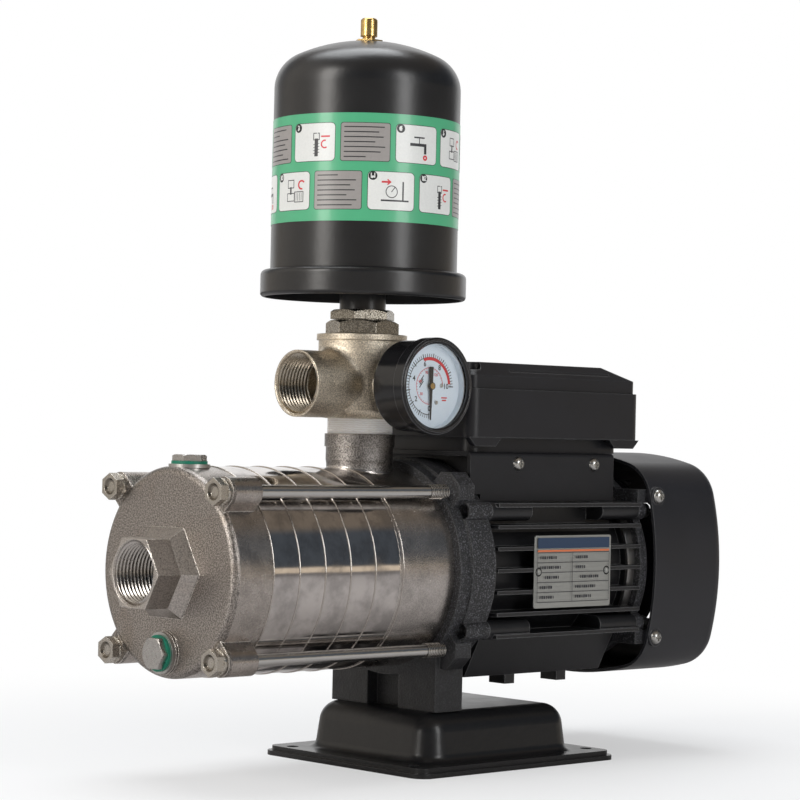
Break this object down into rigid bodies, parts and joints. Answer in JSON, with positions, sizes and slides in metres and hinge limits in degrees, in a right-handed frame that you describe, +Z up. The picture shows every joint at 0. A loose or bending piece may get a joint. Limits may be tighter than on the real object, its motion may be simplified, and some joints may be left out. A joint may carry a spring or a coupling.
{
  "type": "booster pump",
  "caption": "Horizontal multistage booster pump: finned motor, steel stage casing held by tie bolts, cast fitting with gauge, pressure tank on top.",
  "frame": {"origin": "centre of the underside of the stand, in the middle of its four fixing holes", "axes": "+X along the shaft from the suction port to the fan, +Z up, and the gauge faces -Y"},
  "size_m": [0.3989, 0.1365, 0.418],
  "materials": {
    "base_stand": "gloss black",
    "bearing_balls": "polished",
    "bearing_inner_rings": "polished",
    "bearing_outer_rings": "polished",
    "bourdon_tube": "bent tube",
    "box_saddle": "satin black",
    "cable_gland": "moulded",
    "casing_o_rings": "matt",
    "cooling_fan": "moulded",
    "cover_screws": "bright",
    "diffusers": "moulded",
    "discharge_casing": "blasted stainless steel",
    "drain_plug": "turned",
    "drain_seal": "green",
    "fan_cover": "satin black",
    "filler_plug": "turned",
    "filler_seal": "green",
    "five_way_fitting": "nickel plated, rough cast",
    "foot_bolts": "zinc plated",
    "gauge_bezel": "gloss black",
    "gauge_case": "black",
    "gauge_dial": "white",
    "gauge_needle": "black",
    "gauge_window": "clear",
    "impeller_nut": "turned",
    "impellers": "moulded",
    "motor_housing": "satin black cast aluminium",
    "motor_screws": "bright",
    "nameplate": "satin",
    "pressure_switch": "black",
    "pump_bracket": "satin black cast aluminium",
    "rear_endshield": "satin black cast aluminium",
    "rotor_core": "laminated steel",
    "run_capacitor": "moulded",
    "seal_head": "matt",
    "seal_seat": "polished ceramic, plastic stands in",
    "shaft": "ground",
    "stage_ring_1": "polished stainless steel",
    "stage_ring_2": "polished stainless steel",
    "stage_ring_3": "polished stainless steel",
    "stage_ring_4": "polished stainless steel",
    "stage_ring_5": "polished stainless steel",
    "stator_core": "laminated steel",
    "stator_windings": "enamelled copper",
    "suction_cover": "blasted stainless steel",
    "tank_base": "satin black",
    "tank_bushing": "nickel plated",
    "tank_diaphragm": "matt",
    "tank_label": "printed film",
    "tank_nut": "nickel plated",
    "tank_shell": "satin black",
    "terminal_block": "moulded",
    "terminal_box": "satin black",
    "terminal_box_lid": "satin black",
    "thread_tape": "white film",
    "tie_bolts": "bright",
    "valve_cap": "turned",
    "valve_pin": "turned",
    "valve_stem": "turned",
    "valve_washer": "turned"
  },
  "bodies": {
    "pump_set": {"base_stand": "base_stand", "bearing_outer_rings": "bearing_outer_rings", "bourdon_tube": "bourdon_tube", "box_saddle": "box_saddle", "cable_gland": "cable_gland", "casing_o_rings": "casing_o_rings", "cover_screws": "cover_screws", "diffusers": "diffusers", "discharge_casing": "discharge_casing", "fan_cover": "fan_cover", "five_way_fitting": "five_way_fitting", "foot_bolts": "foot_bolts", "gauge_bezel": "gauge_bezel", "gauge_case": "gauge_case", "gauge_dial": "gauge_dial", "gauge_window": "gauge_window", "motor_housing": "motor_housing", "motor_screws": "motor_screws", "nameplate": "nameplate", "pressure_switch": "pressure_switch", "pump_bracket": "pump_bracket", "rear_endshield": "rear_endshield", "run_capacitor": "run_capacitor", "seal_seat": "seal_seat", "stage_ring_1": "stage_ring_1", "stage_ring_2": "stage_ring_2", "stage_ring_3": "stage_ring_3", "stage_ring_4": "stage_ring_4", "stage_ring_5": "stage_ring_5", "stator_core": "stator_core", "stator_windings": "stator_windings", "suction_cover": "suction_cover", "tank_base": "tank_base", "tank_bushing": "tank_bushing", "tank_diaphragm": "tank_diaphragm", "tank_label": "tank_label", "tank_nut": "tank_nut", "tank_shell": "tank_shell", "terminal_block": "terminal_block", "terminal_box": "terminal_box", "terminal_box_lid": "terminal_box_lid", "thread_tape": "thread_tape", "tie_bolts": "tie_bolts", "valve_stem": "valve_stem", "valve_washer": "valve_washer"},
    "rotor": {"shaft": "shaft", "impellers": "impellers", "impeller_nut": "impeller_nut", "seal_head": "seal_head", "rotor_core": "rotor_core", "bearing_inner_rings": "bearing_inner_rings", "cooling_fan": "cooling_fan"},
    "ball_cages": {"bearing_balls": "bearing_balls"},
    "needle": {"gauge_needle": "gauge_needle"},
    "filler_washer": {"filler_seal": "filler_seal"},
    "filler_screw": {"filler_plug": "filler_plug"},
    "drain_washer": {"drain_seal": "drain_seal"},
    "drain_screw": {"drain_plug": "drain_plug"},
    "valve_core": {"valve_pin": "valve_pin"},
    "valve_cap_body": {"valve_cap": "valve_cap"}
  },
  "joints": [
    {"name": "rotor_spin", "type": "hinge", "parent": "pump_set", "child": "rotor", "pos_m": [0, 0, 0.1103], "axis": [1, 0, 0], "continuous": true},
    {"name": "ball_cage_spin", "type": "hinge", "parent": "pump_set", "child": "ball_cages", "pos_m": [0, 0, 0.1103], "axis": [1, 0, 0], "continuous": true},
    {"name": "needle_turn", "type": "hinge", "parent": "pump_set", "child": "needle", "pos_m": [-0.0688, 0, 0.2118], "axis": [0, 1, 0], "range_deg": [0, 270], "stiffness_Nm_per_rad": 0.0001},
    {"name": "filler_lift", "type": "slide", "parent": "pump_set", "child": "filler_washer", "axis": [0, 0, 1], "range_m": [0, 0.0121]},
    {"name": "filler_turn", "type": "hinge", "parent": "filler_washer", "child": "filler_screw", "pos_m": [-0.1901, 0, 0.1651], "axis": [0, 0, 1], "range_deg": [0, 2880]},
    {"name": "drain_lift", "type": "slide", "parent": "pump_set", "child": "drain_washer", "axis": [-1, 0, 0], "range_m": [0, 0.0121]},
    {"name": "drain_turn", "type": "hinge", "parent": "drain_washer", "child": "drain_screw", "pos_m": [-0.2051, 0, 0.0683], "axis": [-1, 0, 0], "range_deg": [0, 2880]},
    {"name": "valve_press", "type": "slide", "parent": "pump_set", "child": "valve_core", "axis": [0, 0, 1], "range_m": [-0.0012, 0], "stiffness_N_per_m": 500, "springref_m": 0.001},
    {"name": "cap_lift", "type": "slide", "parent": "pump_set", "child": "valve_cap_body", "axis": [0, 0, 1], "range_m": [0, 0.012]}
  ],
  "couplings": [
    {"joint": "ball_cage_spin", "follows": "rotor_spin", "ratio": 0.38246},
    {"joint": "filler_lift", "follows": "filler_turn", "m_per_rad": 0.00023873},
    {"joint": "drain_lift", "follows": "drain_turn", "m_per_rad": 0.00023873}
  ]
}
